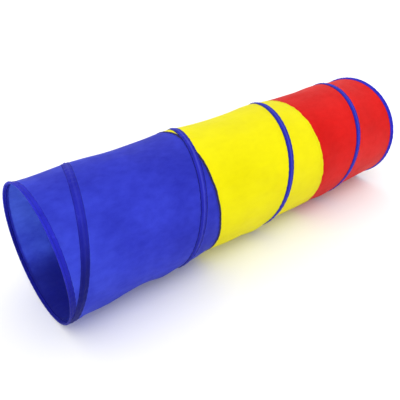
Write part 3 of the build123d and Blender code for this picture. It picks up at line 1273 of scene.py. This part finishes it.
@dataclass
class SpiralSpring:
    """The spiral wire, its caps, and the tape sewn over it."""

    width: float = 0.028  # width of the tape
    edge: float = 0.0012  # thickness of the tape at its edges
    crown: float = 0.0025  # how much higher the tape is over the wire
    shoulder: float = 0.0036  # half width of the rise over the wire
    wire: float = 0.0011  # radius of the wire
    step: float = 0.0026  # length along the wire between sections
    stitch_in: float = 0.0028  # distance from the tape's edge to its stitches
    wire_gap: float = 0.0003  # gap between the wire and the cloth
    wire_floor: float = 0.0014  # least height of the wire over the floor
    wire_short: float = 0.0015  # how far the wire's ends stop short of the CAD wire's
    cap_length: float = 0.014  # length of a cap
    cap_radius: float = 0.0016  # radius of a cap
    cap_advance: float = 0.27  # how far along the tunnel a cap runs, for each part of its length
    hem_back: float = 0.012  # how far a seam's hem reaches towards the mouth
    hem_front: float = 0.008  # how far it reaches towards the red end
    over_binding: float = 0.0016  # how much higher the tape is over a binding's leg
    over_hem: float = 0.0019  # how much higher it is over a seam's hem
    ripple: Waves = Waves(34, 60, 96, 0.02, 0.05, 14)  # waves of its edges
    ripple_out: float = 0.00014  # how far its edges wave out from the cloth

    def over(self, across: Points) -> Points:
        """Height of the tape's outside over the cloth, across its width.

        Args:
            across: Distances from the tape's middle.

        Returns:
            Heights.
        """
        rise = self.crown * np.exp(-((across / self.shoulder) ** 2))
        half = self.width / 2
        roll = np.sqrt(np.clip(1 - ((np.abs(across) - half + self.edge) / self.edge).clip(0, 1) ** 2, 0, 1))
        return (self.edge + rise) * (0.35 + 0.65 * roll)

    def turned(self, form: TunnelForm, margin: float) -> Points:
        """Angles that the wire turns to, from one end of the tunnel to the other.

        Args:
            form: Form of the tunnel.
            margin: Distance from each end of the tunnel to the first and last point.

        Returns:
            The angles, evenly spaced.
        """
        first, last = form.wire_angle(np.array([form.mouth + margin, form.rear - margin]))
        return np.linspace(first, last, int(math.radians(last - first) * form.cloth_radius / self.step))

    def climb(self, form: TunnelForm, x: Points, leg: float) -> Points:
        """Extra height where the tape runs over a binding's leg or the hem of a seam.

        Args:
            form: Form of the tunnel.
            x: Stations.
            leg: Width of a binding's outer leg.

        Returns:
            Heights over the cloth.
        """
        inside = np.minimum(x - form.mouth, form.rear - x)
        height = self.over_binding * np.clip((leg + 0.002 - inside) / 0.004, 0, 1)
        for seam in (form.blue_yellow, form.yellow_red):
            beside = np.maximum(seam - self.hem_back - x, x - seam - self.hem_front)
            height = np.maximum(height, self.over_hem * np.clip(1 - beside / 0.005, 0, 1))
        return height

    def build(self, shop: Workshop) -> None:
        """Build the tape, its stitches, the wire and the caps, and put them on their bodies.

        Args:
            shop: What it is built with.
        """
        form = shop.form
        turned = self.turned(form, -0.008)
        x = form.wire_station(turned)
        half = self.width / 2
        top = np.array([-1, -0.985, -0.94, -0.8, -0.6, -0.42, -0.3, -0.2, -0.1, 0,
                        0.1, 0.2, 0.3, 0.42, 0.6, 0.8, 0.94, 0.985, 1]) * half
        under = top[-2:0:-3]
        across = np.concatenate([top, under])
        height = np.concatenate([self.over(top), np.full(len(under), SKIN)])
        station, angle = form.beside_wire(turned[:, None], across[None, :])
        ring = form.ring_depth + 0.0022
        station = np.clip(station, form.mouth + ring, form.rear - ring)
        tuck = np.clip(np.minimum(x - form.mouth, form.rear - x) / 0.03, 0.0, 1)[:, None]
        flatten = np.where(height > self.edge, self.edge + (height - self.edge) * tuck, height)
        gather = np.where(np.arange(len(across)) < len(top), 1.0, 0.0) * np.clip(np.abs(across) / half, 0, 1)
        wave = self.ripple_out * gather[None, :] * self.ripple.at(x, turned)[:, None]
        lift = flatten + wave + self.climb(form, station, shop.binding_leg)
        run = np.arange(len(x)) * self.step
        tape = (form.place(station, angle, lift), False, across, run)
        shop.make("spiral_tape", tape, shop.finishes.tape, Body.FRONT, ["spiral_casing"])
        self.sew_tape(shop)
        self.wind_wire(shop)

    def sew_tape(self, shop: Workshop) -> None:
        """Sew the tape along both edges.

        Args:
            shop: What it is built with.
        """
        form = shop.form
        turned = self.turned(form, 0.022)
        lines = []
        for across in (-self.width / 2 + self.stitch_in, self.width / 2 - self.stitch_in):
            station, angle = form.beside_wire(turned, np.full(len(turned), across))
            lift = self.over(np.array([across]))[0] + self.climb(form, station, shop.binding_leg)
            lines.append(form.place(station, angle, lift))
        thread = shop.finishes.blue_thread
        shop.sew("spiral_tape_stitches", lines, False, thread, Body.FRONT)

    def wind_wire(self, shop: Workshop) -> None:
        """Wind the wire inside the tape and put a cap on each end.

        Args:
            shop: What it is built with.
        """
        form = shop.form
        low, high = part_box("spiral_wire")
        start, end = low[0] + self.wire_short, high[0] - self.wire_short
        first, last = form.wire_angle(np.array([start, end]))
        turns = (last - first) / 360
        radius = form.cloth_radius + form.wire_rise + self.wire
        wire = linked("spiral_spring_wire", bpy.data.meshes.new("spiral_spring_wire"))
        values = {
            "Turns": turns, "Coil Radius": radius, "Height": turns * form.pitch,
            "Wire Radius": self.wire, "Material": shop.finishes.wire,
        }
        shop.coil.run(wire, values)
        turned = math.radians(first)
        out = Vector((0, -math.sin(turned), -math.cos(turned)))
        along = Vector((1, 0, 0))
        frame_in = Matrix((out, along.cross(out), along)).transposed().to_4x4()
        frame_in.translation = (start - form.slipped(first), 0, form.axis_height)
        wire.data.transform(frame_in)
        self.seat(form, wire, radius)
        shop.fit(wire, Body.FRONT, ["spiral_wire"])
        for name, body, closed, inner in (
            ("spiral_front_cap", Body.FRONT, start, start + self.cap_length * self.cap_advance),
            ("spiral_rear_cap", Body.REAR, end, end - self.cap_length * self.cap_advance),
        ):
            self.cap(shop, name, body, closed, inner)

    def seat(self, form: TunnelForm, wire: Piece, radius: float) -> None:
        """Move the wire from an even coil to its place on the cloth.

        Args:
            form: Form of the tunnel.
            wire: The wire, as an even coil about the tunnel's axis.
            radius: Radius of that coil.
        """
        mesh = wire.data
        flat = np.empty(len(mesh.vertices) * 3)
        mesh.vertices.foreach_get("co", flat)
        points = flat.reshape(-1, 3)
        y, z = points[:, 1], points[:, 2] - form.axis_height
        angle = np.degrees(np.arctan2(-y, -z))
        along = points[:, 0] + form.slipped(angle)
        laid = form.place(along, angle, np.hypot(y, z) - radius + self.wire + self.wire_gap)
        low = self.wire_floor + self.wire + (z + radius * np.cos(np.radians(angle)))
        laid[:, 2] = np.maximum(laid[:, 2], low)
        mesh.vertices.foreach_set("co", laid.ravel())
        mesh.update()

    def cap(self, shop: Workshop, name: str, body: Body, closed: float, inner: float) -> None:
        """A rounded cap over one end of the wire.

        Args:
            shop: What it is built with.
            name: Name of the CAD node.
            body: Body that it rides on.
            closed: Station of its closed end.
            inner: Station of its open end.
        """
        form = shop.form
        outward = -1.0 if closed < inner else 1.0
        share = np.array([-0.10, -0.08, -0.03, 0.05, 0.5, 0.93, 1.0, 1.0])
        size = np.array([0.15, 0.6, 0.9, 1.0, 1.0, 1.0, 0.94, 0.80]) * self.cap_radius
        x = closed + (inner - closed) * share
        angle = form.wire_angle(x)
        turned = np.radians(angle)
        centre = form.place(x, angle, self.wire + self.wire_gap, self.wire_floor + self.wire)
        out = np.stack([np.zeros_like(x), -np.sin(turned), -np.cos(turned)], -1)
        round_it = np.radians(whole_turn(12))
        along = np.array([outward, 0.0, 0.0])
        section = out[:, None, :] * np.cos(round_it)[:, None] + along * np.sin(round_it)[:, None]
        sections = centre[:, None, :] + section * size[:, None, None]
        moulded = (sections, False, np.degrees(round_it) * 0.0001, share * self.cap_length)
        shop.make(f"{name}_moulded", moulded, shop.finishes.cap, body, [name])


def dress_hidden_metal(finishes: Finishes) -> None:
    """Give the ring wires and their crimped sleeves their materials.

    Args:
        finishes: Materials.
    """
    for end in ("front", "rear"):
        for node, material in ((f"{end}_ring_wire", finishes.wire), (f"{end}_ring_ferrule", finishes.crimp)):
            piece = frame["nodes"][node]
            piece.data.materials.clear()
            piece.data.materials.append(material)
            log.info("%s dressed", node)


# ---------------------------------------------------------------- stage, light and camera


@dataclass(frozen=True)
class Studio:
    """A pale floor, soft light from all round and above, and the camera."""

    floor_half: float = 40.0  # half width of the floor
    glow: float = 0.90  # strength of the light from all round
    lens: float = 41.95  # focal length of the camera for a 36 mm sensor
    ring: float = 0.2402  # radius of the mouth, in which the camera's place is measured
    # place of the camera from the middle of the mouth, in those radii
    camera_place: tuple[float, float, float] = (-1.36940, -5.07438, 3.78182)
    # direction of the picture's right side
    camera_right: tuple[float, float, float] = (0.773191, -0.634173, 0.0)
    camera_up: tuple[float, float, float] = (0.331896, 0.404652, 0.852116)  # direction of the picture's top

    def build(self, form: TunnelForm) -> None:
        """Build the floor, the lights and the camera.

        Args:
            form: Form of the tunnel.
        """
        self.floor()
        self.lights()
        self.camera(form)

    def floor(self) -> None:
        """A plain pale floor."""
        half = self.floor_half
        corners = np.array([(-half, -half, 0), (half, -half, 0), (half, half, 0), (-half, half, 0)], float)
        floor = mesh_object("studio_floor", corners, [(0, 1, 2, 3)])
        paint = Plain("studio_floor_paint", (0.93, 0.93, 0.93), (0.92, 0.92, 0.92), 0.9, 0.0, 2.0)
        floor.data.materials.append(paint.build())

    def lights(self) -> None:
        """White light from all round and a broad soft light from above."""
        world = bpy.data.worlds.new("studio_light")
        world.use_nodes = True
        background = world.node_tree.nodes["Background"]
        background.inputs["Color"].default_value = (1.0, 1.0, 1.0, 1.0)
        background.inputs["Strength"].default_value = self.glow
        bpy.context.scene.world = world
        for name, place, spread, power in (
            ("key_light", (-1.8, -2.2, 3.4), 50.0, 0.90),
            ("top_light", (0.4, 0.5, 4.5), 90.0, 0.70),
        ):
            data = bpy.data.lights.new(name, "SUN")
            data.angle, data.energy = math.radians(spread), power
            light = linked(name, data)
            light.location = place
            light.rotation_euler = (-Vector(place)).to_track_quat("-Z", "Y").to_euler()

    def camera(self, form: TunnelForm) -> None:
        """Place the camera above the tunnel's near side, off its mouth, looking down and along it.

        Args:
            form: Form of the tunnel.
        """
        data = bpy.data.cameras.new("camera")
        data.lens, data.sensor_width = self.lens, 36.0
        camera = linked("camera", data)
        mouth = Vector((form.mouth, 0, form.axis_height))
        right, up = Vector(self.camera_right), Vector(self.camera_up)
        turn = Matrix((right, up, right.cross(up))).transposed().to_4x4()
        turn.translation = mouth + self.ring * Vector(self.camera_place)
        camera.matrix_world = turn
        bpy.context.scene.camera = camera
        bpy.context.scene.view_settings.view_transform = "Standard"


def cloth_sections(form: TunnelForm) -> tuple[list[ClothSection], list[CrossSeam]]:
    """The three sections and the two seams between them.

    Args:
        form: Form of the tunnel.

    Returns:
        The sections and the seams.
    """
    blue_edge = SeamLine(form.blue_yellow, Waves(12, 8, 22, 1.0, 2.0, 9), 0.0009)
    yellow_edge = SeamLine(form.yellow_red, Waves(13, 14, 38, 1.0, 2.0, 9), 0.0019)
    angle = whole_turn()
    even = np.ones(ROUND)
    under, short = 0.012, 0.0065  # lap under the section before, and gap to the tunnel's ends
    sections = [
        ClothSection("blue", Body.FRONT, even * (form.mouth + short), blue_edge.edge(angle), False),
        ClothSection("yellow", Body.YELLOW, blue_edge.edge(angle) - under, yellow_edge.edge(angle), True),
        ClothSection("red", Body.RED, yellow_edge.edge(angle) - under, even * (form.rear - short), True),
    ]
    seams = [
        CrossSeam("blue_yellow_seam", blue_edge, "blue", Body.YELLOW, True),
        CrossSeam("yellow_red_seam", yellow_edge, "yellow", Body.RED, False),
    ]
    return sections, seams


def main() -> None:
    """Build every sub-assembly in order."""
    logging.basicConfig(level=logging.INFO, format="%(message)s")
    form = packed_form()
    ends = [end for joint in frame["joints"] if joint["name"] == "collapse" for end in joint["range_m"]]
    travel = max(abs(end) for end in ends)
    low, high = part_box("front_binding")
    leg = high[0] - low[0]
    keep = 1 - travel / (form.rear - form.mouth - 2 * leg)
    shop = Workshop(form, build_finishes(), stitch_tool(), coil_tool(), keep, leg)
    SpiralSpring().build(shop)
    sections, seams = cloth_sections(form)
    for section in sections:
        section.build(shop)
    for seam in seams:
        seam.build(shop)
    bindings = EndBinding("front_binding", Body.FRONT, True), EndBinding("rear_binding", Body.REAR, False)
    for binding in bindings:
        binding.build(shop)
    dress_hidden_metal(shop.finishes)
    Studio().build(form)


if __name__ == "__main__":
    main()
